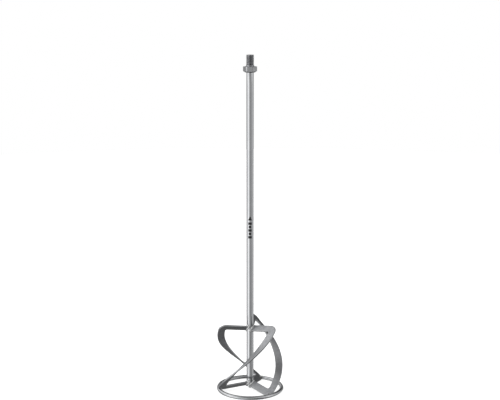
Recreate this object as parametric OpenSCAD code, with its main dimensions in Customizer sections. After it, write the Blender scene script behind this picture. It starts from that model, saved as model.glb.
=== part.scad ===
// Drill paint mixer. A threaded hexagon adapter sits in a long tube, and three twisted
// flat-bar blades join the tube to a round-rod base ring. Everything is welded together.
// Millimetres. The origin is the centre of the ring's underside and +Z runs up the tube.

/* [Overall] */
// Length from the underside of the ring to the end of the stud
overall_length = 600; // [400:10:700]

/* [Base ring] */
// Outside diameter of the ring
ring_od = 120; // [110:1:140]
// Diameter of the rod that the ring is bent from
ring_rod_d = 6.5; // [5:0.5:8]

/* [Tube] */
// Outside diameter of the tube
tube_od = 12.7; // [12:0.1:14]
// Wall of the tube
tube_wall = 1.5; // [1.2:0.1:2]
// Height of the tube's foot above the ring's underside
foot_height = 6; // [5:0.5:8]
// Thickness of the disc that closes the foot
end_cap_thickness = 2.5; // [2:0.5:4]

/* [Adapter] */
// Major diameter of the stud's thread
thread_d = 14; // [12:1:16]
// Pitch of the thread
thread_pitch = 2; // [1.5:0.25:2]
// Length of the stud above the hexagon
stud_length = 20; // [16:1:26]
// Size across the flats of the hexagon
hex_across_flats = 22; // [20:1:24]
// Height of the hexagon
hex_height = 10; // [8:0.5:14]
// Size across the hexagon's rounded corners
hex_corner_d = 24.2; // [23.8:0.1:25]
// Depth of the spigot inside the tube
spigot_depth = 22; // [15:1:30]

/* [Blades] */
// Radius to the outer edge of the blades
blade_r = 58.5; // [56.5:0.5:58.5]
// Width of the helical strip
strip_width = 13; // [12:0.5:14]
// Width of the top arm
top_arm_width = 12; // [11:0.5:13]
// Width of the bottom arm
bottom_arm_width = 13; // [12:0.5:13]
// Thickness of the flat bar
blade_thickness = 3; // [2.5:0.25:3.25]
// Height of the middle of the top arm where it meets the strip
top_arm_height = 121.8; // [110:0.1:130]
// Height of the middle of the bottom arm where it meets the strip
bottom_arm_height = 5.4; // [5.3:0.1:7]
// Turn of a blade from its top arm down to its bottom arm, in degrees
blade_twist = 132; // [120:1:136]
// How much flatter the strip's slope is at the bottom than at the top, in degrees
slope_change = 6.5; // [2:0.5:8]
// Rise of the top arm for each millimetre outwards
top_arm_rise = 0.155; // [0.05:0.005:0.2]
// Rise across the strip for each millimetre outwards
strip_rise = -0.16; // [-0.2:0.01:0]
// Rise of the bottom arm for each millimetre outwards
bottom_arm_rise = -0.125; // [-0.15:0.005:-0.05]
// Outer corner radius at the top arm
top_corner_r = 13.5; // [10:0.5:14]
// Outer corner radius at the bottom arm
bottom_corner_r = 12; // [10:0.5:12]
// Inner corner radius
inner_corner_r = 3.5; // [2.5:0.25:4]
// Direction of the front blade's top arm, counterclockwise from +X, in degrees
first_arm_angle = -37.5; // [-60:0.5:-20]

/* [Welds] */
// Radius of the bead around an arm's end on the tube
tube_bead_r = 1.8; // [1.5:0.1:1.9]
// Radius of the bead where a blade meets the ring
ring_bead_r = 1.9; // [1.6:0.1:2]

/* [Hidden] */

tube_r = tube_od / 2;
rod_r = ring_rod_d / 2;
ring_r = ring_od / 2 - rod_r;
hex_z = overall_length - stud_length - hex_height;
stud_z = overall_length - stud_length;
thread_depth = 0.6134 * thread_pitch;
thread_root_r = thread_d / 2 - thread_depth;
thread_flank = thread_depth * tan(30);
thread_crest = thread_pitch / 8;
thread_root_flat = thread_pitch - 2 * thread_flank - thread_crest;
thread_runout = 2.2;
thread_start = thread_runout + thread_flank + thread_root_flat;
stud_chamfer = 1;
thread_turns = 1 + floor((stud_length - stud_chamfer - thread_start
    - 2 * thread_flank - thread_crest) / thread_pitch);
hex_chamfer = 2.2;
hex_foot_r = tube_r + 2.2;

half_strip = strip_width / 2;
strip_r = blade_r - half_strip;
climb = top_arm_height - bottom_arm_height;
sweep = strip_r * blade_twist * PI / 180;
bend = slope_change * PI / 180;
run = sqrt(climb * climb + sweep * sweep) * bend / 2 / sin(slope_change / 2);
top_slope = atan(sweep / climb) - slope_change / 2;
bottom_slope = top_slope + slope_change;
arm_root_r = 1.2;
edge_r = 0.7;
ease = 0.08;
fade = 18;
arm_steps = 5;
corner_steps = 9;
strip_steps = 44;
edge_steps = 2;
bead_steps = 17;
nudge = 0.05;
first_angles = [first_arm_angle + 240, first_arm_angle, first_arm_angle + 120];
steel = [0.62, 0.63, 0.65];
dark_steel = [0.36, 0.36, 0.38];
bead_steel = [0.72, 0.72, 0.73];

$fn = 96;

// ---- blade surface -------------------------------------------------------------
// rho is the distance out from the middle of the strip. v is the distance down the
// slope from the middle of the top arm.

function ramp(x) = x <= 0 ? 0 : x >= 1 ? 1 : x * x * (3 - 2 * x);

function eased(u) =
    u <= 0 ? 0 : u >= 1 ? 1 :
    u < ease ? u * u / (2 * ease * (1 - ease)) :
    u > 1 - ease ? 1 - (1 - u) * (1 - u) / (2 * ease * (1 - ease)) :
    (u - ease / 2) / (1 - ease);

// Share of the top arm's and of the bottom arm's shape at v, fading into the strip
function top_share(v) = ramp(1 - (v - top_arm_width / 2) / fade);
function bottom_share(v) = ramp(1 - (run - bottom_arm_width / 2 - v) / fade);

function tilt(v) = let (t = top_share(v), b = bottom_share(v))
    top_arm_rise * t + bottom_arm_rise * b + strip_rise * (1 - t - b);

// [distance round, distance down] along the middle of the strip
function travel(v) =
    v < 0 ? v * [sin(top_slope), cos(top_slope)] :
    v > run ? travel(run) + (v - run) * [sin(bottom_slope), cos(bottom_slope)] :
    let (a = top_slope + slope_change * v / run) run / bend
        * [cos(top_slope) - cos(a), sin(a) - sin(top_slope)];

function surface_point(rho, v) = let (
    t = travel(v), round = -t[0] / strip_r * 180 / PI,
    turn = -blade_twist * eased((v - top_arm_width / 2)
           / (run - top_arm_width / 2 - bottom_arm_width / 2)))
    [strip_r * cos(round) + rho * cos(turn),
     strip_r * sin(round) + rho * sin(turn),
     top_arm_height - t[1] + rho * tilt(v)];

function unit(p) = p / norm(p);

function surface_normal(rho, v) = unit(cross(
    surface_point(rho + nudge, v) - surface_point(rho - nudge, v),
    surface_point(rho, v + nudge) - surface_point(rho, v - nudge)));

// ---- blade outline -------------------------------------------------------------
// Each station is a cut across the bar, from its inner edge to its outer edge.

function mix(p, q, u) = p + (q - p) * u;

function corner(v0, width, side, outer_r, f) =
    [[-half_strip - inner_corner_r + inner_corner_r * sin(f),
      v0 + side * (width / 2 + inner_corner_r - inner_corner_r * cos(f))],
     [half_strip - outer_r + outer_r * sin(f),
      v0 - side * (width / 2 - outer_r + outer_r * cos(f))]];

function arm(v0, width, side, outer_r, u) = let (
    c = corner(v0, width, side, outer_r, 0), root = arm_root_r - strip_r)
    [mix([root, c[0][1]], c[0], u), mix([root, c[1][1]], c[1], u)];

top_end = corner(0, top_arm_width, 1, top_corner_r, 90);
bottom_end = corner(run, bottom_arm_width, -1, bottom_corner_r, 90);

stations = concat(
    [for (i = [0:arm_steps - 1]) arm(0, top_arm_width, 1, top_corner_r, i / arm_steps)],
    [for (i = [0:corner_steps]) corner(0, top_arm_width, 1, top_corner_r,
        90 * i / corner_steps)],
    [for (i = [1:strip_steps - 1]) [mix(top_end[0], bottom_end[0], i / strip_steps),
        mix(top_end[1], bottom_end[1], i / strip_steps)]],
    [for (i = [corner_steps:-1:0]) corner(run, bottom_arm_width, -1, bottom_corner_r,
        90 * i / corner_steps)],
    [for (i = [arm_steps - 1:-1:0]) arm(run, bottom_arm_width, -1, bottom_corner_r,
        i / arm_steps)]);

// Rounded edges of the bar: [distance in from an edge, height off the middle surface]
function bar_edge(width) = let (h = blade_thickness / 2 - edge_r)
    [for (k = [0:3]) for (i = [0:edge_steps]) let (a = 90 * k + 90 * i / edge_steps)
        [(k == 0 || k == 3 ? width - edge_r : edge_r) + edge_r * cos(a),
         (k < 2 ? h : -h) + edge_r * sin(a)]];

function cut(station) = let (p = station[0], q = station[1], width = norm(q - p))
    [for (e = bar_edge(width)) let (m = mix(p, q, e[0] / width))
        surface_point(m[0], m[1]) + e[1] * surface_normal(m[0], m[1])];

function strip_faces(rows, n) = [for (i = [0:rows - 2]) for (k = [0:n - 1])
    let (a = i * n + k, b = i * n + (k + 1) % n)
    each [[a, b, b + n], [a, b + n, a + n]]];

module bar() {
    rows = len(stations);
    n = 4 * (edge_steps + 1);
    points = [for (s = stations) each cut(s)];
    polyhedron(points,
        concat([[for (k = [n - 1:-1:0]) k]], strip_faces(rows, n),
               [[for (k = [0:n - 1]) (rows - 1) * n + k]]),
        convexity = 8);
}

module ring_rod() {
    translate([0, 0, rod_r]) rotate_extrude() translate([ring_r, 0]) circle(r = rod_r);
}

module tube_solid() {
    translate([0, 0, -20]) cylinder(r = tube_r, h = overall_length);
}

module blade(angle) {
    color(steel) difference() {
        rotate([0, 0, angle]) bar();
        tube_solid();
        ring_rod();
    }
}

// ---- weld beads ----------------------------------------------------------------

// One point of the outline round an arm's end: [across the bar, off its face]
function stadium(width, off, s) = let (
    straight = width - blade_thickness, total = 2 * straight + 2 * PI * off, d = s * total)
    d < straight ? [d - straight / 2, off] :
    d < straight + PI * off ? let (a = (d - straight) / off * 180 / PI)
        [straight / 2 + off * sin(a), off * cos(a)] :
    d < 2 * straight + PI * off ? [straight / 2 - (d - straight - PI * off), -off] :
    let (a = (d - 2 * straight - PI * off) / off * 180 / PI)
        [-straight / 2 - off * sin(a), -off * cos(a)];

// The same point laid on the tube's wall, for an arm whose middle is at height z
function on_tube(width, z, slope, s) = let (
    e = stadium(width, blade_thickness / 2 + 0.5, s),
    t = -e[0] * sin(slope) + e[1] * cos(slope),
    r = tube_r + 0.1)
    [sqrt(r * r - t * t), t, z - e[0] * cos(slope) - e[1] * sin(slope)];

module bead_loop(width, z, slope) {
    for (i = [0:bead_steps - 1])
        translate(on_tube(width, z, slope, i / bead_steps))
            sphere(r = tube_bead_r * (i % 2 == 0 ? 1 : 0.96));
}

module arm_bar(width, z, slope, rise) {
    translate([0, 0, z]) rotate([0, -atan(rise), 0]) translate([10, 0, 0])
        rotate([-slope, 0, 0]) cube([30, blade_thickness + 0.16, width + 0.12], center = true);
}

module tube_weld(angle, width, height, slope, rise) {
    z = height - rise * strip_r;
    color(bead_steel) rotate([0, 0, angle]) difference() {
        bead_loop(width, z + rise * tube_r, slope);
        translate([0, 0, -20]) cylinder(r = tube_r, h = overall_length);
        arm_bar(width, z, slope, rise);
    }
}

// Beads lie on the inner upper side of the rod, across the blade's corner
module ring_weld(angle) {
    lean = 48;
    color(bead_steel) difference() {
        for (i = [-2.5:2.5]) rotate([0, 0, angle + i * 2])
            translate([ring_r - rod_r * sin(lean), 0, rod_r + (rod_r + 0.2) * cos(lean)])
                sphere(r = ring_bead_r);
        ring_rod();
        rotate([0, 0, angle + blade_twist]) bar();
    }
}

// ---- sub-parts -----------------------------------------------------------------

module shaft_tube() {
    color(steel) translate([0, 0, foot_height]) difference() {
        cylinder(r = tube_r, h = hex_z - foot_height);
        translate([0, 0, -1]) cylinder(r = tube_r - tube_wall, h = hex_z);
    }
}

module tube_end_cap() {
    color(bead_steel) translate([0, 0, foot_height])
        cylinder(r = tube_r - tube_wall, h = end_cap_thickness);
}

module base_ring() {
    color(steel) ring_rod();
}

module thread_profile() {
    crest_r = thread_d / 2;
    ridges = [for (i = [0:thread_turns - 1]) let (z = thread_start + i * thread_pitch) each
        [[thread_root_r, z], [crest_r, z + thread_flank],
         [crest_r, z + thread_flank + thread_crest],
         [thread_root_r, z + 2 * thread_flank + thread_crest]]];
    polygon(concat([[0, -1], [crest_r, -1], [crest_r, thread_runout],
        [thread_root_r, thread_runout + thread_flank]], ridges,
        [[thread_root_r, stud_length - stud_chamfer],
         [thread_root_r - stud_chamfer, stud_length],
         [0, stud_length]]));
}

module threaded_hex_adapter() {
    color(dark_steel) {
        translate([0, 0, stud_z]) rotate_extrude() thread_profile();
        translate([0, 0, hex_z]) intersection() {
            cylinder(r = hex_across_flats / sqrt(3), h = hex_height, $fn = 6);
            rotate_extrude() polygon([[0, 0], [hex_foot_r, 0],
                [hex_corner_d / 2, hex_chamfer], [hex_corner_d / 2, hex_height],
                [0, hex_height]]);
        }
        translate([0, 0, hex_z - spigot_depth])
            cylinder(r = tube_r - tube_wall, h = spigot_depth + 1);
    }
}

module blade_a() { blade(first_angles[0]); }
module blade_b() { blade(first_angles[1]); }
module blade_c() { blade(first_angles[2]); }

module weld_top(i) {
    tube_weld(first_angles[i], top_arm_width, top_arm_height, top_slope, top_arm_rise);
}

module weld_foot(i) {
    tube_weld(first_angles[i] - blade_twist, bottom_arm_width, bottom_arm_height,
        bottom_slope, bottom_arm_rise);
}

module weld_top_a() { weld_top(0); }
module weld_top_b() { weld_top(1); }
module weld_top_c() { weld_top(2); }
module weld_foot_a() { weld_foot(0); }
module weld_foot_b() { weld_foot(1); }
module weld_foot_c() { weld_foot(2); }
module weld_ring_a() { ring_weld(first_angles[0] - blade_twist); }
module weld_ring_b() { ring_weld(first_angles[1] - blade_twist); }
module weld_ring_c() { ring_weld(first_angles[2] - blade_twist); }

shaft_tube();
threaded_hex_adapter();
tube_end_cap();
base_ring();
blade_a();
blade_b();
blade_c();
weld_top_a();
weld_top_b();
weld_top_c();
weld_foot_a();
weld_foot_b();
weld_foot_c();
weld_ring_a();
weld_ring_b();
weld_ring_c();
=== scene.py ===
"""Drill paint mixer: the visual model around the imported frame.

A threaded hexagon adapter sits in a long tube, and three twisted flat-bar blades join the
tube to a round-rod ring. Everything is metres, with +Z up the tube and the origin at the
centre of the ring's underside.
"""

import logging
import math
import random
from collections.abc import Callable
from dataclasses import dataclass
from enum import Enum

import bmesh
import bpy
from mathutils import Matrix, Vector


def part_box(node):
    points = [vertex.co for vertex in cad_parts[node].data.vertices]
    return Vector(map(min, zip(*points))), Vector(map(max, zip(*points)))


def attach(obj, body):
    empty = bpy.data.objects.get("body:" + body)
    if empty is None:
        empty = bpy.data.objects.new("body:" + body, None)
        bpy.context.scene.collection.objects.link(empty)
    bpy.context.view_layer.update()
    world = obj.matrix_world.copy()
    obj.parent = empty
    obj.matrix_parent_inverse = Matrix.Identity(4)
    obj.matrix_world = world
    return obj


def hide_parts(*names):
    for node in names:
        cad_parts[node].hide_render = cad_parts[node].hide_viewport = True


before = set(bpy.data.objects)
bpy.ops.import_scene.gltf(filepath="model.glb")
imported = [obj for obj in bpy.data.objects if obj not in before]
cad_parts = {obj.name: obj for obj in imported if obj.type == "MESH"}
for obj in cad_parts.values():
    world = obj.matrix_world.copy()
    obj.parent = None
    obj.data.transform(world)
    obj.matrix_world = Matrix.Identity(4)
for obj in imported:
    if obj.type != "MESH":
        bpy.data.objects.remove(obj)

log = logging.getLogger("paint_mixer")
MM = 0.001
BODY = "root"
ANGLES = {"a": 202.5, "b": -37.5, "c": 82.5}  # degrees that the top arms point to, from +X
WEAR = "edge_wear"
GRAIN_UV = "bar_grain"
THREAD_DEPTH = 0.6134  # depth of a metric outer thread as a share of its pitch
THREAD_FLANK = 30  # degrees that a metric thread's flank leans from square to its axis
FULL_WEAR = 28  # degrees that an edge turns outwards at which it counts as fully rubbed
LINE_STRETCH = 90  # how many times longer than wide a drawn or rolled line is


# ---- colour and shader nodes ------------------------------------------------------------


def linear(hex_colour: str) -> tuple[float, float, float, float]:
    """Turns an sRGB hex value to a linear colour.

    Args:
        hex_colour: Six hex digits, such as "A1A3A6".

    Returns:
        Linear red, green, blue and an alpha of 1.
    """
    channels = [int(hex_colour[i : i + 2], 16) / 255 for i in (0, 2, 4)]
    return (
        *(c / 12.92 if c <= 0.04045 else ((c + 0.055) / 1.055) ** 2.4 for c in channels),
        1.0,
    )


def add_node(
    tree: bpy.types.NodeTree, kind: str, settings: dict | None = None, links: dict | None = None
) -> bpy.types.Node:
    """Adds one node with its settings and its links.

    Args:
        tree: The node tree that gets the node.
        kind: Blender's type name of the node.
        settings: Attribute names, or input names or numbers, with their values.
        links: Input names or numbers, with the output socket that feeds each.

    Returns:
        The new node.
    """
    node = tree.nodes.new(kind)
    for key, value in (settings or {}).items():
        if isinstance(key, str) and hasattr(node, key):
            setattr(node, key, value)
        else:
            node.inputs[key].default_value = value
    for key, source in (links or {}).items():
        tree.links.new(source, node.inputs[key])
    return node


def new_material(
    name: str,
) -> tuple[bpy.types.Material, bpy.types.NodeTree, bpy.types.NodeSocket]:
    """Makes an empty material.

    Args:
        name: The material's name.

    Returns:
        The material, its node tree and the socket of its Object coordinates.
    """
    material = bpy.data.materials.new(name)
    material.use_nodes = True
    tree = material.node_tree
    tree.nodes.clear()
    return material, tree, add_node(tree, "ShaderNodeTexCoord").outputs["Object"]


class Grain(Enum):
    """How a surface was made, which sets the direction of its fine marks."""

    DRAWN = "lines along the tube from the drawing die"
    ROLLED = "lines along the flat bar from the rolls"
    TURNED = "rings round the axis from the lathe tool"
    WOUND = "fine marks in every direction"


@dataclass(frozen=True)
class MetalFinish:
    """One metal finish: its colours, its gloss and the sizes of its marks."""

    name: str
    slot: str
    base: str
    stain: str
    worn: str
    grain: Grain
    gloss: tuple[float, float]
    line_mm: float
    patch_mm: float
    patch_share: float
    speck_mm: float
    relief_mm: float
    contrast: float = 1.0
    wear: float = 0.6

    def grain_vector(
        self, tree: bpy.types.NodeTree, place: bpy.types.NodeSocket
    ) -> bpy.types.NodeSocket:
        """Gives the coordinates that the fine marks follow, one unit to a mark.

        Args:
            tree: The material's node tree.
            place: The socket of the Object coordinates.

        Returns:
            The socket that holds the stretched coordinates.
        """
        fine, long = 1 / (self.line_mm * MM), 1 / (self.line_mm * LINE_STRETCH * MM)
        scale = {
            Grain.DRAWN: (fine, fine, long),
            Grain.ROLLED: (fine, long, fine),
            Grain.TURNED: (fine, fine, fine),
            Grain.WOUND: (fine, fine, fine),
        }[self.grain]
        if self.grain is Grain.ROLLED:
            place = add_node(tree, "ShaderNodeUVMap", {"uv_map": GRAIN_UV}).outputs["UV"]
        return add_node(
            tree, "ShaderNodeMapping", {"Scale": scale}, {"Vector": place}
        ).outputs["Vector"]

    def build(self) -> bpy.types.Material:
        """Makes the material.

        Returns:
            A procedural metal with patches, fine marks, specks and worn edges.
        """
        material, tree, place = new_material(self.name)
        along = self.grain_vector(tree, place)
        if self.grain is Grain.TURNED:
            fine = add_node(
                tree,
                "ShaderNodeTexWave",
                {"wave_type": "RINGS", "rings_direction": "Z", "Scale": 0.5, "Distortion": 1.5,
                 "Detail": 2.0, "Detail Scale": 0.4},
                {"Vector": along},
            ).outputs["Fac"]
        else:
            fine = add_node(
                tree, "ShaderNodeTexNoise", {"Scale": 1.0, "Detail": 4.0, "Roughness": 0.6},
                {"Vector": along},
            ).outputs["Fac"]
        patch, speck = (
            add_node(
                tree, "ShaderNodeTexNoise",
                {"Scale": 1 / (size * MM), "Detail": detail, "Roughness": rough,
                 "Distortion": bend},
                {"Vector": place},
            ).outputs["Fac"]
            for size, detail, rough, bend in (
                (self.patch_mm, 5.0, 0.62, 0.6), (self.speck_mm, 3.0, 0.7, 0.0)
            )
        )
        patches = add_node(
            tree, "ShaderNodeMapRange",
            {"From Min": 0.36, "From Max": 0.64, "To Max": self.patch_share,
             "interpolation_type": "SMOOTHSTEP"},
            {"Value": patch},
        ).outputs["Result"]
        toned = add_node(
            tree, "ShaderNodeMix",
            {"data_type": "RGBA", 6: linear(self.base), 7: linear(self.stain)},
            {0: patches},
        ).outputs[2]
        light, dots = (
            add_node(
                tree, "ShaderNodeMapRange",
                {"From Min": low, "From Max": 1 - low, "To Min": 1 - dark * self.contrast,
                 "To Max": 1 + bright * self.contrast},
                {"Value": source},
            ).outputs["Result"]
            for source, low, dark, bright in ((fine, 0.25, 0.12, 0.1), (speck, 0.3, 0.1, 0.08))
        )
        shade = add_node(
            tree, "ShaderNodeMath", {"operation": "MULTIPLY"}, {0: light, 1: dots}
        ).outputs[0]
        marked = add_node(
            tree, "ShaderNodeVectorMath", {"operation": "SCALE"}, {0: toned, "Scale": shade}
        ).outputs[0]
        edge = add_node(tree, "ShaderNodeAttribute", {"attribute_name": WEAR}).outputs["Fac"]
        rubbed = add_node(
            tree, "ShaderNodeMapRange",
            {"From Min": 0.35, "From Max": 0.6, "To Min": self.wear * 0.4, "To Max": self.wear},
            {"Value": speck},
        ).outputs["Result"]
        wear = add_node(
            tree, "ShaderNodeMath", {"operation": "MULTIPLY", "use_clamp": True},
            {0: edge, 1: rubbed},
        ).outputs[0]
        colour = add_node(
            tree, "ShaderNodeMix", {"data_type": "RGBA", 7: linear(self.worn)}, {0: wear, 6: marked}
        ).outputs[2]
        mixed = add_node(
            tree, "ShaderNodeMath", {"operation": "MULTIPLY"}, {0: fine, 1: patch}
        ).outputs[0]
        roughness = add_node(
            tree, "ShaderNodeMapRange",
            {"From Min": 0.12, "From Max": 0.4, "To Min": self.gloss[0], "To Max": self.gloss[1]},
            {"Value": mixed},
        ).outputs["Result"]
        height = add_node(
            tree, "ShaderNodeMath", {"operation": "ADD"}, {0: fine, 1: speck}
        ).outputs[0]
        normal = add_node(
            tree, "ShaderNodeBump", {"Strength": 0.35, "Distance": self.relief_mm * MM},
            {"Height": height},
        ).outputs["Normal"]
        shader = add_node(
            tree, "ShaderNodeBsdfPrincipled", {"Metallic": 1.0},
            {"Base Color": colour, "Roughness": roughness, "Normal": normal},
        )
        add_node(tree, "ShaderNodeOutputMaterial", None, {"Surface": shader.outputs["BSDF"]})
        return material


# Bright zinc over cold-drawn tube: an even, glossy light grey with long faint die lines.
# The lines are really about 0.1 mm apart and are drawn at 0.5 mm, so that they show.
DRAWN_TUBE = MetalFinish(
    "bright_zinc_on_drawn_steel_tube", "tube_steel", "AEAFB1", "949699", "C6C7C8",
    Grain.DRAWN, (0.13, 0.18), 0.5, 26.0, 0.25, 1.6, 0.001, 0.25,
)
# Dull zinc over hot-rolled flat bar: a matte mid grey with soft mottling and rubbed edges.
ROLLED_BAR = MetalFinish(
    "dull_zinc_on_rolled_flat_bar", "blade_steel", "A6A7A9", "8F9194", "C1C2C3",
    Grain.ROLLED, (0.4, 0.52), 0.6, 5.5, 0.45, 0.9, 0.02, 0.7,
)
# Zinc over bent round bar: glossier than the flat bar, with darker smudges from the bending.
BENT_ROD = MetalFinish(
    "zinc_on_bent_round_bar", "ring_steel", "BCBDBF", "9B9D9F", "D7D8D9",
    Grain.WOUND, (0.24, 0.38), 0.8, 9.0, 0.6, 1.2, 0.012, 0.8,
)
# Turned hexagon bar steel: grey, half-gloss, with tool rings. Their real feed of 0.15 mm is
# drawn at 0.5 mm.
TURNED_STEEL = MetalFinish(
    "turned_hexagon_bar_steel", "adapter_steel", "919295", "747679", "BCBDBE",
    Grain.TURNED, (0.24, 0.4), 0.5, 6.0, 0.5, 0.7, 0.012, 0.8,
)
# Zinc over a small fusion weld: bright ripples with darker heat tint between them.
WELD_BEAD = MetalFinish(
    "zinc_on_weld_bead", "weld_metal", "C9CACB", "8C8A87", "E2E3E3",
    Grain.WOUND, (0.2, 0.36), 0.5, 2.6, 0.55, 0.5, 0.02, 1.0, 0.8,
)


@dataclass(frozen=True)
class InkFinish:
    """Screen-printed ink: a thin matte black with pinholes that show the metal's grey."""

    name: str = "matte_screen_ink"
    slot: str = "tube_steel"
    ink: str = "17181A"
    thin: str = "4A4C50"
    pinhole_mm: float = 0.7

    def build(self) -> bpy.types.Material:
        """Makes the ink's material.

        Returns:
            A procedural ink with pinholes.
        """
        material, tree, place = new_material(self.name)
        hole = add_node(
            tree, "ShaderNodeTexNoise",
            {"Scale": 1 / (self.pinhole_mm * MM), "Detail": 3.0}, {"Vector": place},
        ).outputs["Fac"]
        share = add_node(
            tree, "ShaderNodeMapRange", {"From Min": 0.55, "From Max": 0.7}, {"Value": hole}
        ).outputs["Result"]
        colour = add_node(
            tree, "ShaderNodeMix", {"data_type": "RGBA", 6: linear(self.ink), 7: linear(self.thin)},
            {0: share},
        ).outputs[2]
        roughness = add_node(
            tree, "ShaderNodeMapRange", {"To Min": 0.45, "To Max": 0.62}, {"Value": hole}
        ).outputs["Result"]
        shader = add_node(
            tree, "ShaderNodeBsdfPrincipled", {"IOR": 1.5},
            {"Base Color": colour, "Roughness": roughness},
        )
        add_node(tree, "ShaderNodeOutputMaterial", None, {"Surface": shader.outputs["BSDF"]})
        return material


# ---- shared mesh work -------------------------------------------------------------------


def lathe(
    profile: list[tuple[float, float]], steps: int, closed: bool = False
) -> bmesh.types.BMesh:
    """Spins a profile about the Z axis.

    Args:
        profile: Points as radius and height.
        steps: Number of steps in the full turn.
        closed: True to join the last point to the first.

    Returns:
        A mesh with its poles merged and its faces outwards.
    """
    bm = bmesh.new()
    points = [bm.verts.new((r, 0, z)) for r, z in profile]
    edges = [bm.edges.new(pair) for pair in zip(points, points[1:])]
    if closed:
        edges.append(bm.edges.new((points[-1], points[0])))
    bmesh.ops.spin(
        bm, geom=points + edges, cent=(0, 0, 0), axis=(0, 0, 1), angle=math.tau,
        steps=steps, use_merge=True,
    )
    bmesh.ops.remove_doubles(bm, verts=bm.verts, dist=1e-6)
    bmesh.ops.recalc_face_normals(bm, faces=bm.faces)
    return bm


def close_holes(bm: bmesh.types.BMesh) -> None:
    """Fills each open loop with one face and turns the faces outwards."""
    bmesh.ops.holes_fill(bm, edges=[e for e in bm.edges if e.is_boundary], sides=0)
    bmesh.ops.recalc_face_normals(bm, faces=bm.faces)


def round_edges(bm: bmesh.types.BMesh, width: float, segments: int, sharper_than: float) -> None:
    """Bevels every edge that turns by more than an angle.

    Args:
        bm: The mesh.
        width: Width of the bevel.
        segments: Number of segments across it.
        sharper_than: The angle in degrees.
    """
    limit = math.radians(sharper_than)
    edges = [e for e in bm.edges if e.is_manifold and e.calc_face_angle(0) > limit]
    bmesh.ops.bevel(
        bm, geom=edges, offset=width, segments=segments, profile=0.5, affect="EDGES",
        material=-1, clamp_overlap=True,
    )


def mark_wear(bm: bmesh.types.BMesh) -> None:
    """Writes how far each vertex stands on an outward edge, from 0 to 1.

    Args:
        bm: The mesh, whose vertices get the wear attribute.
    """
    layer = bm.verts.layers.float.get(WEAR) or bm.verts.layers.float.new(WEAR)
    for vert in bm.verts:
        turns = [e.calc_face_angle_signed(0) for e in vert.link_edges if e.is_manifold]
        vert[layer] = min(1.0, max([0.0, *turns]) / math.radians(FULL_WEAR))


def make_object(
    bm: bmesh.types.BMesh, name: str, material: bpy.types.Material | None = None
) -> bpy.types.Object:
    """Makes an object of a mesh, which is freed.

    Args:
        bm: The mesh.
        name: The object's name.
        material: Its material, if it has one.

    Returns:
        The object, linked to the scene at the origin.
    """
    mesh = bpy.data.meshes.new(name)
    bm.to_mesh(mesh)
    bm.free()
    if material:
        mesh.materials.append(material)
    made = bpy.data.objects.new(name, mesh)
    bpy.context.scene.collection.objects.link(made)
    return made


def finish_piece(
    bm: bmesh.types.BMesh, name: str, finish: MetalFinish, material: bpy.types.Material,
    *nodes: str, sharp: float = 38.0,
) -> bpy.types.Object:
    """Makes the piece's object and ties it to the frame.

    Args:
        bm: The finished mesh, which is freed here.
        name: The piece's name.
        finish: The piece's finish, which is not used.
        material: The material that the finish built.
        nodes: The CAD nodes that the piece stands for.
        sharp: Edges that turn by more than this many degrees stay crisp.

    Returns:
        The object, at the origin.
    """
    mark_wear(bm)
    for face in bm.faces:
        face.smooth = True
    for edge in bm.edges:
        edge.smooth = not (edge.is_manifold and edge.calc_face_angle(0) > math.radians(sharp))
    piece = make_object(bm, name, material)
    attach(piece, BODY)
    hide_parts(*nodes)
    log.info("%s: %d faces for %s", name, len(piece.data.polygons), ", ".join(nodes))
    return piece


def join_meshes(parts: list[bmesh.types.BMesh]) -> bmesh.types.BMesh:
    """Puts several meshes into one and frees them.

    Args:
        parts: The meshes.

    Returns:
        One mesh that holds them all.
    """
    whole = bmesh.new()
    for part in parts:
        held = bpy.data.meshes.new("held")
        part.to_mesh(held)
        part.free()
        whole.from_mesh(held)
        bpy.data.meshes.remove(held)
    return whole


def swept_bead(
    path: Callable[[float], Vector], radius: Callable[[float], float], stations: int,
    sides: int, closed: bool,
) -> bmesh.types.BMesh:
    """Runs a round section along a path.

    Args:
        path: Gives the middle of the bead at a share from 0 to 1 of its length.
        radius: Gives the bead's radius there.
        stations: Number of sections.
        sides: Number of sides of a section.
        closed: True if the path returns to its start.

    Returns:
        The bead as one closed mesh.
    """
    bm = bmesh.new()
    rings = []
    step = 0.004
    count = stations if closed else stations + 1
    for i in range(count):
        u = i / stations
        ahead = path((u + step) % 1 if closed else u + step)
        behind = path((u - step) % 1 if closed else u - step)
        heading = (ahead - behind).normalized()
        side = heading.cross(Vector((path(u).x, path(u).y, 0)).normalized()).normalized()
        out = side.cross(heading)
        turn = Matrix((side, out, heading)).transposed().to_4x4()
        made = bmesh.ops.create_circle(
            bm, segments=sides, radius=radius(u), matrix=Matrix.Translation(path(u)) @ turn
        )
        rings.append({e for v in made["verts"] for e in v.link_edges})
    pairs = list(zip(rings, rings[1:])) + ([(rings[-1], rings[0])] if closed else [])
    for first, second in pairs:
        bmesh.ops.bridge_loops(bm, edges=list(first | second))
    close_holes(bm)
    return bm


# ---- tube, foot disc and print ----------------------------------------------------------


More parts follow.
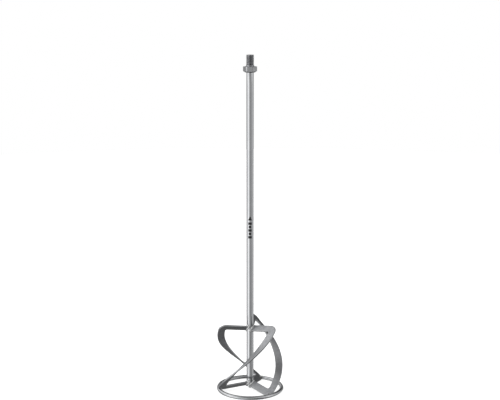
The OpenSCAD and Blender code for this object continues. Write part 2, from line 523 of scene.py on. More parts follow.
@dataclass
class Tube:
    """The long tube and the disc welded into its foot."""

    outer_r: float = 6.35 * MM
    wall: float = 1.5 * MM
    edge: float = 0.35 * MM
    row_pitch: float = 20 * MM
    seam_r: float = 0.8 * MM
    seam_h: float = 0.5 * MM
    seam_inset: float = 1.0 * MM
    seam_z: float = 0.55 * MM
    disc_face: float = 0.45 * MM
    disc_dip: float = 0.05 * MM
    disc_rim: float = 0.9 * MM
    disc_play: float = 0.02 * MM
    steps: int = 96

    def __post_init__(self) -> None:
        """Takes the heights from the frame."""
        low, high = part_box("shaft_tube")
        self.foot, self.top = low.z, high.z
        self.disc_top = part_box("tube_end_cap")[1].z

    def build_tube(self, finish: MetalFinish, material: bpy.types.Material) -> None:
        """Makes the tube, with rounded rims and a row of faces about every 20 mm.

        Args:
            finish: The tube's finish.
            material: The material that it built.
        """
        bore, e = self.outer_r - self.wall, self.edge
        rim = [(math.cos(math.radians(a)), math.sin(math.radians(a))) for a in (0, 30, 60, 90)]
        rows = int((self.top - self.foot) / self.row_pitch)
        heights = [
            self.foot + e + (self.top - self.foot - 2 * e) * i / rows for i in range(rows + 1)
        ]
        profile = [(self.outer_r - e + e * c, self.foot + e - e * s) for c, s in reversed(rim)]
        profile += [(self.outer_r, z) for z in heights[1:-1]]
        profile += [(self.outer_r - e + e * c, self.top - e + e * s) for c, s in rim]
        profile += [(bore, self.top), (bore, self.foot)]
        bm = lathe(profile, self.steps, closed=True)
        finish_piece(bm, "tube", finish, material, "shaft_tube")

    def build_disc(self, finish: MetalFinish, material: bpy.types.Material) -> None:
        """Makes the foot's disc, with the low seam of weld that holds it in the bore.

        Args:
            finish: The weld's finish.
            material: The material that it built.
        """
        r, z, t = self.outer_r - self.wall, self.foot, self.disc_top - self.foot
        seam = [
            (r - self.seam_inset + self.seam_r * math.cos(math.radians(a)),
             z + self.seam_z - self.seam_h * math.sin(math.radians(a)))
            for a in range(150, -1, -25)
        ]
        rim, face = r - self.disc_play, z + self.disc_face
        profile = [(0, face), (r * 0.4, face - self.disc_dip), *seam,
                   (rim, z + self.disc_rim), (rim, z + t), (0, z + t)]
        bm = lathe(profile, 48)
        finish_piece(bm, "tube_foot_disc", finish, material, "tube_end_cap")


@dataclass
class DirectionPrint:
    """A plain arrow above a row of bars, printed on the front of the tube.

    The bars' widths are shares of width. fill, head_h, head_drop and head_pitches are shares of
    the pitch from bar to bar.
    """

    tube_r: float
    middle_z: float = 300.5 * MM
    height: float = 44 * MM
    width: float = 7.6 * MM
    skin: float = 0.02 * MM
    bars: tuple[float, ...] = (0.9, 0.65, 0.85, 0.65, 0.9)
    fill: float = 0.72
    head_w: float = 1.15
    head_h: float = 1.7
    head_drop: float = 1.35
    head_pitches: float = 2.2

    def wrap(self, bm: bmesh.types.BMesh) -> None:
        """Lays flat shapes, drawn as width along X and height along Z, on the tube's wall.

        Args:
            bm: The mesh with the shapes.
        """
        r = self.tube_r + self.skin
        for vert in bm.verts:
            turn = vert.co.x / r
            vert.co = Vector((r * math.sin(turn), -r * math.cos(turn), vert.co.z))

    def build(self, finish: InkFinish, material: bpy.types.Material) -> None:
        """Makes the print from a grid for each bar and a three-sided arrow head.

        Args:
            finish: The ink's finish, which is not used.
            material: The material that it built.
        """
        bm = bmesh.new()
        pitch = self.height / (len(self.bars) + self.head_pitches)
        stand = Matrix.Rotation(math.pi / 2, 4, "X")
        for i, share in enumerate(self.bars):
            z = self.middle_z - self.height / 2 + pitch * (i + 0.5)
            shape = Matrix.Diagonal((self.width * share, pitch * self.fill, 1, 1))
            bmesh.ops.create_grid(
                bm, x_segments=8, y_segments=2, size=0.5,
                matrix=Matrix.Translation((0, 0, z)) @ stand @ shape,
            )
        head_z = self.middle_z + self.height / 2 - pitch * self.head_drop
        head = bmesh.ops.create_circle(
            bm, cap_ends=True, segments=3, radius=0.5,
            matrix=Matrix.Translation((0, 0, head_z)) @ stand
            @ Matrix.Diagonal((self.width * self.head_w, pitch * self.head_h, 1, 1)),
        )["verts"]
        bmesh.ops.triangulate(bm, faces=[f for v in head for f in v.link_faces][:1])
        edges = list({e for v in head for e in v.link_edges})
        bmesh.ops.subdivide_edges(bm, edges=edges, cuts=7, use_grid_fill=True)
        self.wrap(bm)
        bmesh.ops.recalc_face_normals(bm, faces=bm.faces)
        for face in bm.faces:
            if face.normal.dot(face.calc_center_median().xy.to_3d()) < 0:
                face.normal_flip()
            face.smooth = True
        piece = make_object(bm, "direction_print", material)
        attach(piece, BODY)
        log.info("direction_print: %d faces", len(piece.data.polygons))


# ---- threaded adapter -------------------------------------------------------------------


@dataclass
class Adapter:
    """The turned adapter: a threaded stud, a hexagon and a spigot that sits in the tube.

    lip_slope is the fall of the top face's lip as a share of its width, and groove_at is the
    groove's place as a share of the spigot's length. The overlaps reach into the hexagon, and
    seam_dist joins the turns of the thread.
    """

    crest_r: float = 7.0 * MM
    pitch: float = 2.0 * MM
    runout: float = 2.2 * MM
    runout_slope: float = 60
    tip_chamfer: float = 1.1 * MM
    flats: float = 22.0 * MM
    corners_d: float = 24.2 * MM
    hex_h: float = 10.0 * MM
    hex_lip: float = 0.35 * MM
    lip_slope: float = 0.6
    foot_r: float = 8.55 * MM
    foot_chamfer: float = 2.2 * MM
    spigot_r: float = 4.83 * MM
    spigot_chamfer: float = 0.8 * MM
    groove_depth: float = 0.4 * MM
    groove_foot: float = 0.2 * MM
    groove_at: float = 0.45
    overlap: float = 0.5 * MM
    stud_overlap: float = 0.1 * MM
    seam_dist: float = 0.02 * MM
    steps: int = 96

    def __post_init__(self) -> None:
        """Takes the heights from the frame, and the thread's root from its pitch."""
        low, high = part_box("threaded_hex_adapter")
        self.foot, self.top = low.z, high.z
        self.hex_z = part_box("shaft_tube")[1].z
        self.stud_z = self.hex_z + self.hex_h
        self.root_r = self.crest_r - THREAD_DEPTH * self.pitch

    def limit_thread(self, vert: bmesh.types.BMVert) -> None:
        """Keeps a thread vertex inside the tip's chamfer and outside the plain run-out.

        Args:
            vert: The vertex, which moves straight in or out.
        """
        up = vert.co.z - self.stud_z
        length = self.top - self.stud_z
        tip = self.crest_r - self.tip_chamfer + (length - up)
        fall = math.tan(math.radians(self.runout_slope))
        plain = self.crest_r - max(0.0, up - self.runout) * fall
        r = vert.co.xy.length
        wanted = max(min(r, tip), min(self.crest_r, plain))
        vert.co.xy = vert.co.xy * (wanted / r)

    def thread(self) -> bmesh.types.BMesh:
        """Winds one pitch of the thread's profile up the stud and trims both ends.

        Returns:
            The closed stud.
        """
        depth = self.crest_r - self.root_r
        flank, crest = depth * math.tan(math.radians(THREAD_FLANK)), self.pitch / 8
        flat = self.pitch - 2 * flank - crest
        top = flat + flank
        knots = [(0, 0), (flat / 2, 0), (flat, 0), (flat + flank / 2, 0.5), (top, 1),
                 (top + crest, 1), (top + crest + flank / 2, 0.5), (self.pitch, 0)]
        start = self.stud_z - 1.5 * self.pitch
        turns = math.ceil((self.top - start) / self.pitch) + 1
        bm = bmesh.new()
        points = [bm.verts.new((self.root_r + depth * out, 0, start + up)) for up, out in knots]
        edges = [bm.edges.new(pair) for pair in zip(points, points[1:])]
        bmesh.ops.spin(
            bm, geom=points + edges, cent=(0, 0, 0), axis=(0, 0, 1),
            dvec=(0, 0, self.pitch / self.steps), angle=math.tau * turns,
            steps=self.steps * turns, use_merge=False,
        )
        bmesh.ops.remove_doubles(bm, verts=bm.verts, dist=self.seam_dist)
        for height, up in ((self.stud_z - self.stud_overlap, -1), (self.top, 1)):
            bmesh.ops.bisect_plane(
                bm, geom=bm.verts[:] + bm.edges[:] + bm.faces[:], dist=1e-7,
                plane_co=(0, 0, height), plane_no=(0, 0, up), clear_outer=True,
            )
        for vert in bm.verts:
            self.limit_thread(vert)
        close_holes(bm)
        return bm

    def hexagon(self) -> bmesh.types.BMesh:
        """Draws up a ring of 96 sides to the hexagon, its turned corners and its foot cone.

        Returns:
            The closed hexagon.
        """
        bm = bmesh.new()
        base = bmesh.ops.create_circle(bm, segments=self.steps, radius=1.0)["verts"]
        lip, reach = self.hex_lip, self.corners_d / 2 - self.foot_r

        def side_r(vert: bmesh.types.BMVert) -> float:
            """Gives the hexagon's radius in a vertex's direction."""
            turn = math.degrees(math.atan2(vert.co.y, vert.co.x)) % 60 - 30
            return min(self.flats / 2 / math.cos(math.radians(turn)), self.corners_d / 2)

        def place(verts: list[bmesh.types.BMVert], ring: int) -> None:
            """Puts one ring of vertices at its radius and height.

            Args:
                verts: The ring's vertices.
                ring: Its number, from 0 at the foot to 3 at the top face.
            """
            for vert in verts:
                r = side_r(vert)
                rise = self.foot_chamfer * (r - self.foot_r) / reach
                radius = (self.foot_r, r, r, r - lip)[ring]
                height = (0.0, rise, self.hex_h - lip * self.lip_slope, self.hex_h)[ring]
                flat = vert.co.xy.normalized() * radius
                vert.co = Vector((flat.x, flat.y, self.hex_z + height))

        ring = base
        edges = list({e for v in base for e in v.link_edges})
        place(ring, 0)
        for i in (1, 2, 3):
            made = bmesh.ops.extrude_edge_only(bm, edges=edges)["geom"]
            ring = [g for g in made if isinstance(g, bmesh.types.BMVert)]
            edges = [
                g for g in made
                if isinstance(g, bmesh.types.BMEdge) and all(v in ring for v in g.verts)
            ]
            place(ring, i)
        close_holes(bm)
        return bm

    def spigot(self) -> bmesh.types.BMesh:
        """Turns the spigot, with a chamfered end and a groove round its middle.

        Returns:
            The closed spigot.
        """
        r, z, top = self.spigot_r, self.foot, self.hex_z + self.overlap
        groove = z + self.groove_at * (self.hex_z - z)
        deep, foot = self.groove_depth, self.groove_foot
        return lathe(
            [(0, z), (r - self.spigot_chamfer, z), (r, z + self.spigot_chamfer),
             (r, groove - foot - deep), (r - deep, groove - foot), (r - deep, groove + foot),
             (r, groove + foot + deep), (r, top), (0, top)],
            64,
        )

    def build(self, finish: MetalFinish, material: bpy.types.Material) -> None:
        """Joins the three lengths into the adapter."""
        bm = join_meshes([self.thread(), self.hexagon(), self.spigot()])
        finish_piece(bm, "adapter", finish, material, "threaded_hex_adapter", sharp=24.0)


# ---- blades -----------------------------------------------------------------------------


def ramp(x: float) -> float:
    """Rises smoothly from 0 to 1."""
    x = min(1.0, max(0.0, x))
    return x * x * (3 - 2 * x)


def mix(start: float, end: float, share: float) -> float:
    """Goes from start to end by a share."""
    return start + (end - start) * share


@dataclass
class Blade:
    """One flat bar: a straight top arm, a helical strip and a straight bottom arm.

    The bar's middle surface is laid out in millimetres. rho is the distance out from the
    middle of the strip, and v is the distance down its slope from the middle of the top arm.
    """

    letter: str
    angle: float
    outer_r: float = 58.5
    strip_w: float = 13.0
    top_w: float = 12.0
    bottom_w: float = 13.0
    thickness: float = 3.0
    top_z: float = 121.8
    bottom_z: float = 5.4
    twist: float = 132.0
    slope_change: float = 6.5
    top_rise: float = 0.155
    strip_rise: float = -0.16
    bottom_rise: float = -0.125
    top_corner: float = 13.5
    bottom_corner: float = 12.0
    inner_corner: float = 3.5
    ease: float = 0.08
    fade: float = 18.0
    root_r: float = 6.0
    edge_r: float = 0.7
    arm_steps: int = 12
    corner_steps: int = 12
    strip_steps: int = 96
    across: int = 8
    bar_length: float = 270.0
    edge_steps: int = 4

    def __post_init__(self) -> None:
        """Works out the slope of the strip from its climb and its sweep."""
        self.strip_r = self.outer_r - self.strip_w / 2
        climb = self.top_z - self.bottom_z
        sweep = self.strip_r * math.radians(self.twist)
        self.bend = math.radians(self.slope_change)
        self.run = math.hypot(climb, sweep) * self.bend / 2 / math.sin(self.bend / 2)
        self.top_slope = math.atan2(sweep, climb) - self.bend / 2
        self.bottom_slope = self.top_slope + self.bend
        self.rows = 2 * (self.arm_steps + self.corner_steps) + self.strip_steps

    def eased(self, u: float) -> float:
        """Turns a share of the strip's length into a share of its twist, soft at both ends.

        Args:
            u: Share of the length.

        Returns:
            Share of the twist.
        """
        u, soft = min(1.0, max(0.0, u)), 2 * self.ease * (1 - self.ease)
        if u < self.ease:
            return u * u / soft
        if u > 1 - self.ease:
            return 1 - (1 - u) ** 2 / soft
        return (u - self.ease / 2) / (1 - self.ease)

    def tilt(self, v: float) -> float:
        """Gives the rise for each millimetre outwards.

        Args:
            v: Distance down the slope.

        Returns:
            The rise, which is negative where the bar falls outwards.
        """
        top = ramp(1 - (v - self.top_w / 2) / self.fade)
        bottom = ramp(1 - (self.run - self.bottom_w / 2 - v) / self.fade)
        return (
            self.top_rise * top + self.bottom_rise * bottom + self.strip_rise * (1 - top - bottom)
        )

    def travel(self, v: float) -> tuple[float, float]:
        """Gives how far round and how far down a point of the strip is.

        Args:
            v: Distance down the slope.

        Returns:
            The distances round and down.
        """
        if v < 0:
            return v * math.sin(self.top_slope), v * math.cos(self.top_slope)
        if v > self.run:
            a, b = self.travel(self.run)
            rest = v - self.run
            return a + rest * math.sin(self.bottom_slope), b + rest * math.cos(self.bottom_slope)
        a = self.top_slope + self.bend * v / self.run
        scale = self.run / self.bend
        return (
            scale * (math.cos(self.top_slope) - math.cos(a)),
            scale * (math.sin(a) - math.sin(self.top_slope)),
        )

    def turns(self, v: float) -> tuple[float, float]:
        """Gives, in radians, the direction of the strip's middle and of the bar's width."""
        share = (v - self.top_w / 2) / (self.run - self.top_w / 2 - self.bottom_w / 2)
        return -self.travel(v)[0] / self.strip_r, -math.radians(self.twist) * self.eased(share)

    def surface(self, rho: float, v: float) -> Vector:
        """Gives a point of the bar's middle surface, before the blade's own turn.

        Args:
            rho: Distance out from the strip's middle.
            v: Distance down the slope.

        Returns:
            The point in millimetres.
        """
        around, turn = self.turns(v)
        return Vector((
            self.strip_r * math.cos(around) + rho * math.cos(turn),
            self.strip_r * math.sin(around) + rho * math.sin(turn),
            self.top_z - self.travel(v)[1] + rho * self.tilt(v),
        ))

    def normal(self, rho: float, v: float) -> Vector:
        """Gives the direction off the bar's face.

        Args:
            rho: Distance out from the strip's middle.
            v: Distance down the slope.

        Returns:
            The unit vector.
        """
        d = 0.05
        out = self.surface(rho + d, v) - self.surface(rho - d, v)
        down = self.surface(rho, v + d) - self.surface(rho, v - d)
        return out.cross(down).normalized()

    def corner(self, end: int, f: float) -> tuple[tuple[float, float], tuple[float, float]]:
        """Gives the bar's inner and outer edge in a corner.

        Args:
            end: 0 for the top corner and 1 for the bottom one.
            f: Angle round the corner in radians, 0 at the arm.

        Returns:
            Two points as rho and v.
        """
        side, v0 = (1, 0.0) if end == 0 else (-1, self.run)
        width = (self.top_w, self.bottom_w)[end]
        outer = (self.top_corner, self.bottom_corner)[end]
        half, inner = self.strip_w / 2, self.inner_corner
        across, along = math.sin(f), math.cos(f)
        return (
            (-half - inner + inner * across, v0 + side * (width / 2 + inner - inner * along)),
            (half - outer + outer * across, v0 - side * (width / 2 - outer + outer * along)),
        )

    def root(self, v: float) -> float:
        """Finds where a lengthwise line of an arm meets the inside of the tube's wall.

        Args:
            v: The line's distance down the slope.

        Returns:
            The place as rho.
        """
        around, turn = self.turns(v)
        lag = around - turn
        t = self.strip_r * math.sin(lag)
        return math.sqrt(self.root_r**2 - t * t) - self.strip_r * math.cos(lag)

    def layout(self, across: float, row: float) -> tuple[float, float]:
        """Gives a point of the bar's outline plan.

        Args:
            across: Share of the bar's width, 0 at its inner edge.
            row: Station along the bar, from the top arm's root.

        Returns:
            The point as rho and v.
        """
        end = 0
        if row > self.rows / 2:
            end, row = 1, self.rows - row
        if row < self.arm_steps:
            (r0, v0), (r1, v1) = self.corner(end, 0)
            v = mix(v0, v1, across)
            return mix(self.root(v), mix(r0, r1, across), row / self.arm_steps), v
        row -= self.arm_steps
        if row <= self.corner_steps:
            (r0, v0), (r1, v1) = self.corner(end, math.pi / 2 * row / self.corner_steps)
            return mix(r0, r1, across), mix(v0, v1, across)
        share = (row - self.corner_steps) / self.strip_steps
        if end == 1:
            share = 1 - share
        ends = [self.corner(e, math.pi / 2) for e in (0, 1)]
        rho = [mix(ends[0][k][0], ends[1][k][0], share) for k in (0, 1)]
        v = [mix(ends[0][k][1], ends[1][k][1], share) for k in (0, 1)]
        return mix(*rho, across), mix(*v, across)

    def bar(self) -> bmesh.types.BMesh:
        """Shapes a grid to the bar's middle surface, thickens it and rounds its edges.

        Returns:
            The closed bar in place, in metres.
        """
        bm = bmesh.new()
        bmesh.ops.create_grid(bm, x_segments=self.across, y_segments=self.rows, size=0.5)
        uv = bm.loops.layers.uv.new(GRAIN_UV)
        for name in ("rho", "v"):
            bm.verts.layers.float.new(name)
        plan = {name: bm.verts.layers.float[name] for name in ("rho", "v")}
        for face in bm.faces:
            for loop in face.loops:
                across, along = loop.vert.co.x + 0.5, loop.vert.co.y + 0.5
                loop[uv].uv = (across * self.strip_w * MM, along * self.bar_length * MM)
        for vert in bm.verts:
            row = round((vert.co.y + 0.5) * self.rows, 3)
            vert[plan["rho"]], vert[plan["v"]] = self.layout(vert.co.x + 0.5, row)
        made = bmesh.ops.extrude_face_region(bm, geom=bm.faces[:])["geom"]
        upper = {g for g in made if isinstance(g, bmesh.types.BMVert)}
        for vert in bm.verts:
            rho, v = vert[plan["rho"]], vert[plan["v"]]
            off = self.thickness / 2 * (1 if vert in upper else -1)
            vert.co = (self.surface(rho, v) + self.normal(rho, v) * off) * MM
        bmesh.ops.remove_doubles(bm, verts=bm.verts, dist=1e-7)
        bmesh.ops.recalc_face_normals(bm, faces=bm.faces)
        round_edges(bm, self.edge_r * MM, self.edge_steps, sharper_than=60)
        for name in plan:
            bm.verts.layers.float.remove(bm.verts.layers.float[name])
        bmesh.ops.rotate(
            bm, verts=bm.verts, cent=(0, 0, 0),
            matrix=Matrix.Rotation(math.radians(self.angle), 3, "Z"),
        )
        return bm

    def seat_on(self, bm: bmesh.types.BMesh, ring: bpy.types.Object) -> bmesh.types.BMesh:
        """Cuts the ring's rod out of the bar's lower corner, so that it sits on the rod.

        Args:
            bm: The bar, which is freed here.
            ring: The ring's object.

        Returns:
            The cut bar.
        """
        held = make_object(bm, "bar")
        mesh = held.data
        cut = held.modifiers.new("seat", "BOOLEAN")
        cut.operation, cut.solver, cut.object = "DIFFERENCE", "EXACT", ring
        view = bpy.context.evaluated_depsgraph_get()
        seated = bmesh.new()
        seated.from_mesh(held.evaluated_get(view).to_mesh())
        bpy.data.objects.remove(held)
        bpy.data.meshes.remove(mesh)
        bmesh.ops.dissolve_degenerate(seated, dist=1e-7, edges=seated.edges)
        return seated

    def build(
        self, finish: MetalFinish, material: bpy.types.Material, ring: bpy.types.Object
    ) -> None:
        """Makes the blade, seated on the ring."""
        bm = self.seat_on(self.bar(), ring)
        finish_piece(bm, f"blade_{self.letter}_bar", finish, material, f"blade_{self.letter}")


# ---- ring -------------------------------------------------------------------------------


@dataclass
class Ring:
    """The round rod bent to a closed ring."""

    rod_r: float = 3.25 * MM
    steps: int = 240
    sides: int = 32

    def __post_init__(self) -> None:
        """Takes the ring's radius from the frame."""
        self.middle_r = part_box("base_ring")[1].x - self.rod_r

    def build(self, finish: MetalFinish, material: bpy.types.Material) -> bpy.types.Object:
        """Spins the rod's section round the axis.

        Args:
            finish: The rod's finish.
            material: The material that it built.

        Returns:
            The ring's object.
        """
        bm = bmesh.new()
        stand = Matrix.Translation((self.middle_r, 0, self.rod_r)) @ Matrix.Rotation(
            math.pi / 2, 4, "X"
        )
        bmesh.ops.create_circle(bm, segments=self.sides, radius=self.rod_r, matrix=stand)
        bmesh.ops.spin(
            bm, geom=bm.verts[:] + bm.edges[:], cent=(0, 0, 0), axis=(0, 0, 1),
            angle=math.tau, steps=self.steps, use_merge=True,
        )
        bmesh.ops.remove_doubles(bm, verts=bm.verts, dist=1e-6)
        bmesh.ops.recalc_face_normals(bm, faces=bm.faces)
        return finish_piece(bm, "ring", finish, material, "base_ring")


# ---- welds ------------------------------------------------------------------------------


@dataclass
class Welds:
    """The nine weld beads: round each arm's root on the tube, and where a blade meets the ring.

    uneven, crown, end_r and lump are shares of a bead's radius, and lump_reach is a share of
    its length. lean and seat_half are degrees, round the rod and round the ring.
    """

    blade: Blade
    tube_r: float
    ring_r: float
    rod_r: float
    bead_r: float = 2.0 * MM
    ring_bead_r: float = 1.9 * MM
    ripple: float = 1.05 * MM
    embed: float = 0.3 * MM
    lean: float = 48.0
    seat_half: float = 6.4
    uneven: float = 0.07
    crown: float = 0.11
    end_r: float = 0.35
    lump: float = 0.42
    lump_reach: float = 0.1
    stations: int = 150
    seat_stations: int = 60
    sides: int = 14
    seed: int = 7

    def bead_radius(
        self, size: float, length: float, taper: float, stop: float | None = None
    ) -> Callable[[float], float]:
        """Makes the radius of one bead, with a ripple for each drop of weld metal.

        Args:
            size: The bead's radius.
            length: The bead's length.
            taper: Share of the length over which its ends run out, 0 on a closed bead.
            stop: Share of the length where the bead was ended, which leaves a lump.

        Returns:
            A function of the share of the bead's length.
        """
        rng = random.Random(self.seed)
        self.seed += 1
        count = round(length / self.ripple)
        sizes = [1 - self.uneven * rng.random() for _ in range(count + 1)]
        sizes[-1] = sizes[0]

        def radius(u: float) -> float:
            """Gives the bead's radius.

            Args:
                u: Share of the bead's length.

            Returns:
                The radius there.
            """
            u = min(1.0, max(0.0, u))
            drop = min(int(u * count), count - 1)
            into = u * count - drop
            body = mix(sizes[drop], sizes[drop + 1], into)
            crown = 1 - self.crown * into**2.2
            ends = ramp(min(u, 1 - u) / taper) if taper else 1
            lump = 0 if stop is None else ramp(1 - abs(u - stop) / self.lump_reach) * self.lump
            return size * (body * crown * mix(self.end_r, 1, ends) + lump)

        return radius

    def arm_root(
        self, letter: str, end: int, finish: MetalFinish, material: bpy.types.Material
    ) -> None:
        """Makes the bead round one arm's root on the tube.

        Args:
            letter: The blade's letter.
            end: 0 for the top arm and 1 for the bottom one.
            finish: The weld's finish.
            material: The material that it built.
        """
        b = self.blade
        width, slope, rise, z, turn = (
            (b.top_w, b.top_slope, b.top_rise, b.top_z, 0.0),
            (b.bottom_w, b.bottom_slope, b.bottom_rise, b.bottom_z, -b.twist),
        )[end]
        angle = ANGLES[letter] + turn
        middle = (z - rise * b.strip_r) * MM + rise * self.tube_r
        half = (width - b.thickness) * MM / 2
        off = b.thickness * MM / 2 + self.embed
        total = 4 * half + math.tau * off
        wall = self.tube_r - self.embed
        spin = Matrix.Rotation(math.radians(angle), 3, "Z")

        def path(u: float) -> Vector:
            """Gives a point of the outline round the arm, laid on the tube's wall.

            Args:
                u: Share of the outline's length.

            Returns:
                The point.
            """
            d = (u % 1) * total
            if d < 2 * half:
                e = (d - half, off)
            elif d < 2 * half + math.pi * off:
                a = (d - 2 * half) / off
                e = (half + off * math.sin(a), off * math.cos(a))
            elif d < 4 * half + math.pi * off:
                e = (half - (d - 2 * half - math.pi * off), -off)
            else:
                a = (d - 4 * half - math.pi * off) / off
                e = (-half - off * math.sin(a), -off * math.cos(a))
            t = -e[0] * math.sin(slope) + e[1] * math.cos(slope)
            height = middle - e[0] * math.cos(slope) - e[1] * math.sin(slope)
            return spin @ Vector((math.sqrt(wall * wall - t * t), t, height))

        name = ("weld_top_", "weld_foot_")[end] + letter
        stop = (3 * half + math.pi * off) / total
        radius = self.bead_radius(self.bead_r, total, 0, stop)
        bm = swept_bead(path, radius, self.stations, self.sides, True)
        finish_piece(bm, name.replace("weld", "bead"), finish, material, name, sharp=60.0)

    def ring_seat(self, letter: str, finish: MetalFinish, material: bpy.types.Material) -> None:
        """Makes the short bead along the rod, where the blade's lower corner sits on it.

        Args:
            letter: The blade's letter.
            finish: The weld's finish.
            material: The material that it built.
        """
        angle = math.radians(ANGLES[letter] - self.blade.twist)
        lean, half = math.radians(self.lean), math.radians(self.seat_half)
        r = self.ring_r - self.rod_r * math.sin(lean)
        z = self.rod_r + (self.rod_r + 0.2 * MM) * math.cos(lean)

        def path(u: float) -> Vector:
            """Gives a point of the arc along the rod."""
            a = angle + mix(-half, half, u)
            return Vector((r * math.cos(a), r * math.sin(a), z))

        radius = self.bead_radius(self.ring_bead_r, 2 * half * r, 0.2)
        bm = swept_bead(path, radius, self.seat_stations, self.sides, False)
        finish_piece(
            bm, f"bead_ring_{letter}", finish, material, f"weld_ring_{letter}", sharp=60.0
        )


# ---- floor, light and camera ------------------------------------------------------------


class Band(Enum):
    """Where a soft box hangs.

    The three angles are its elevation, and how far off its middle it starts and ends to fade.
    """

    LEVEL = (-8, 4, 36)
    HIGH = (38, 6, 52)
    BOUNCE = (-48, 6, 52)


@dataclass(frozen=True)
class SoftBox:
    """One large soft light of the studio, given by the direction that it shines from."""

    name: str
    azimuth: float
    band: Band
    strength: float

    def direction(self) -> Vector:
        """Gives the unit vector towards the light. Azimuth 0 is the front, 90 the right."""
        a, e = math.radians(self.azimuth), math.radians(self.band.value[0])
        return Vector((math.sin(a) * math.cos(e), -math.cos(a) * math.cos(e), math.sin(e)))


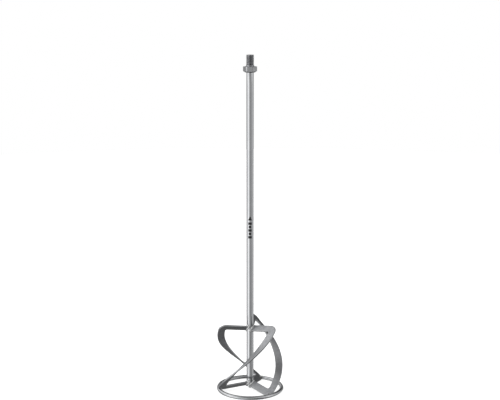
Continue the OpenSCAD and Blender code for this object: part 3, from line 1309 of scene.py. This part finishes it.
@dataclass(frozen=True)
class Studio:
    """A plain white studio: soft boxes in the world, a pale floor and one camera."""

    ambient: float = 0.01
    ambient_below: float = 0.0045
    floor_r: float = 3.0
    floor_glow: float = 0.72
    boxes: tuple[SoftBox, ...] = (
        SoftBox("front_wall", 0, Band.LEVEL, 0.61),
        SoftBox("right_front_strip", 60, Band.LEVEL, 0.72),
        SoftBox("right_strip", 90, Band.LEVEL, 0.34),
        SoftBox("right_back_strip", 120, Band.LEVEL, 0.57),
        SoftBox("back_strip", 180, Band.LEVEL, 0.45),
        SoftBox("back_left_strip", 210, Band.LEVEL, 0.34),
        SoftBox("left_back_strip", 240, Band.LEVEL, 0.1),
        SoftBox("left_strip", 270, Band.LEVEL, 0.54),
        SoftBox("front_left_box", 300, Band.LEVEL, 1.54),
        SoftBox("front_left_strip", 330, Band.LEVEL, 0.55),
        SoftBox("front_right_high", 22.5, Band.HIGH, 0.14),
        SoftBox("right_high", 67.5, Band.HIGH, 0.86),
        SoftBox("back_high", 202.5, Band.HIGH, 0.18),
        SoftBox("left_high", 247.5, Band.HIGH, 1.01),
        SoftBox("key", 292.5, Band.HIGH, 0.62),
        SoftBox("back_right_bounce", 120, Band.BOUNCE, 0.26),
        SoftBox("back_left_bounce", 240, Band.BOUNCE, 0.17),
        SoftBox("front_left_bounce", 300, Band.BOUNCE, 0.43),
    )
    lens: float = 84.45
    eye: tuple[float, float, float] = (-0.0001, -2.0175, 0.73095)
    pitch: float = 10.774

    def light(self) -> None:
        """Makes the world: white behind the object, and soft boxes on near-black round it."""
        world = bpy.data.worlds.new("studio")
        bpy.context.scene.world = world
        world.use_nodes = True
        tree = world.node_tree
        tree.nodes.clear()
        way = add_node(tree, "ShaderNodeTexCoord").outputs["Generated"]
        total = None
        for box in self.boxes:
            inner, outer = (math.cos(math.radians(angle)) for angle in box.band.value[1:])
            near = add_node(
                tree, "ShaderNodeVectorMath",
                {"operation": "DOT_PRODUCT", 1: box.direction(), "label": box.name}, {0: way},
            ).outputs["Value"]
            glow = add_node(
                tree, "ShaderNodeMapRange",
                {"interpolation_type": "SMOOTHSTEP", "From Min": outer, "From Max": inner,
                 "To Max": box.strength},
                {"Value": near},
            ).outputs["Result"]
            total = glow if total is None else add_node(
                tree, "ShaderNodeMath", {"operation": "ADD"}, {0: total, 1: glow}
            ).outputs[0]
        up = add_node(tree, "ShaderNodeSeparateXYZ", None, {"Vector": way}).outputs["Z"]
        sky = add_node(
            tree, "ShaderNodeMapRange",
            {"interpolation_type": "SMOOTHSTEP", "From Min": -0.35, "From Max": 0.25,
             "To Min": self.ambient_below, "To Max": self.ambient},
            {"Value": up},
        ).outputs["Result"]
        strength = add_node(
            tree, "ShaderNodeMath", {"operation": "ADD"}, {0: total, 1: sky}
        ).outputs[0]
        studio = add_node(
            tree, "ShaderNodeBackground", {"Color": (1, 1, 1, 1)}, {"Strength": strength}
        ).outputs[0]
        white = add_node(
            tree, "ShaderNodeBackground", {"Color": (1, 1, 1, 1), "Strength": 1.0}
        ).outputs[0]
        seen = add_node(tree, "ShaderNodeLightPath").outputs["Is Camera Ray"]
        both = add_node(tree, "ShaderNodeMixShader", None, {0: seen, 1: studio, 2: white})
        add_node(tree, "ShaderNodeOutputWorld", None, {"Surface": both.outputs[0]})

    def lay_floor(self) -> None:
        """Makes the pale floor, which the metal doesn't mirror and which is clear from below."""
        material, tree, place = new_material("matte_white_paper")
        fibre = add_node(
            tree, "ShaderNodeTexNoise", {"Scale": 1 / (3 * MM), "Detail": 3.0}, {"Vector": place}
        ).outputs["Fac"]
        paper = add_node(
            tree, "ShaderNodeMapRange", {"To Min": 0.9, "To Max": 0.94}, {"Value": fibre}
        ).outputs["Result"]
        shader = add_node(
            tree, "ShaderNodeBsdfPrincipled",
            {"Roughness": 0.9, "Emission Color": (1, 1, 1, 1),
             "Emission Strength": self.floor_glow},
            {"Base Color": paper},
        )
        below = add_node(tree, "ShaderNodeNewGeometry").outputs["Backfacing"]
        clear = add_node(tree, "ShaderNodeBsdfTransparent").outputs[0]
        one_way = add_node(
            tree, "ShaderNodeMixShader", None, {0: below, 1: shader.outputs[0], 2: clear}
        )
        add_node(tree, "ShaderNodeOutputMaterial", None, {"Surface": one_way.outputs[0]})
        bm = bmesh.new()
        bmesh.ops.create_circle(bm, cap_ends=True, segments=96, radius=self.floor_r)
        floor = make_object(bm, "floor", material)
        floor.visible_diffuse = floor.visible_glossy = False

    def place_camera(self) -> None:
        """Makes the camera, which looks along +Y and slightly down."""
        data = bpy.data.cameras.new("camera")
        data.sensor_width, data.lens = 36.0, self.lens
        data.clip_start, data.clip_end = 0.05, 60.0
        camera = bpy.data.objects.new("camera", data)
        camera.location = self.eye
        camera.rotation_euler = (math.radians(90 - self.pitch), 0, 0)
        bpy.context.scene.collection.objects.link(camera)
        bpy.context.scene.camera = camera
        bpy.context.scene.view_settings.view_transform = "Standard"

    def build(self) -> None:
        """Makes the light, the floor and the camera."""
        self.light()
        self.lay_floor()
        self.place_camera()


# ---- the whole mixer --------------------------------------------------------------------


def main() -> None:
    """Builds every piece."""
    logging.basicConfig(level=logging.INFO, format="%(message)s")
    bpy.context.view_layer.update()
    steels = {
        finish: finish.build()
        for finish in (DRAWN_TUBE, ROLLED_BAR, BENT_ROD, TURNED_STEEL, WELD_BEAD)
    }
    tube = Tube()
    tube.build_tube(DRAWN_TUBE, steels[DRAWN_TUBE])
    tube.build_disc(WELD_BEAD, steels[WELD_BEAD])
    ink = InkFinish()
    DirectionPrint(tube.outer_r).build(ink, ink.build())
    Adapter().build(TURNED_STEEL, steels[TURNED_STEEL])
    ring = Ring()
    rod = ring.build(BENT_ROD, steels[BENT_ROD])
    for letter, angle in ANGLES.items():
        Blade(letter, angle).build(ROLLED_BAR, steels[ROLLED_BAR], rod)
    welds = Welds(Blade("a", ANGLES["a"]), tube.outer_r, ring.middle_r, ring.rod_r)
    for letter in ANGLES:
        welds.arm_root(letter, 0, WELD_BEAD, steels[WELD_BEAD])
        welds.arm_root(letter, 1, WELD_BEAD, steels[WELD_BEAD])
        welds.ring_seat(letter, WELD_BEAD, steels[WELD_BEAD])
    Studio().build()
    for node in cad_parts.values():
        if not node.hide_render:
            log.warning("CAD node %s is still shown", node.name)


if __name__ == "__main__":
    main()
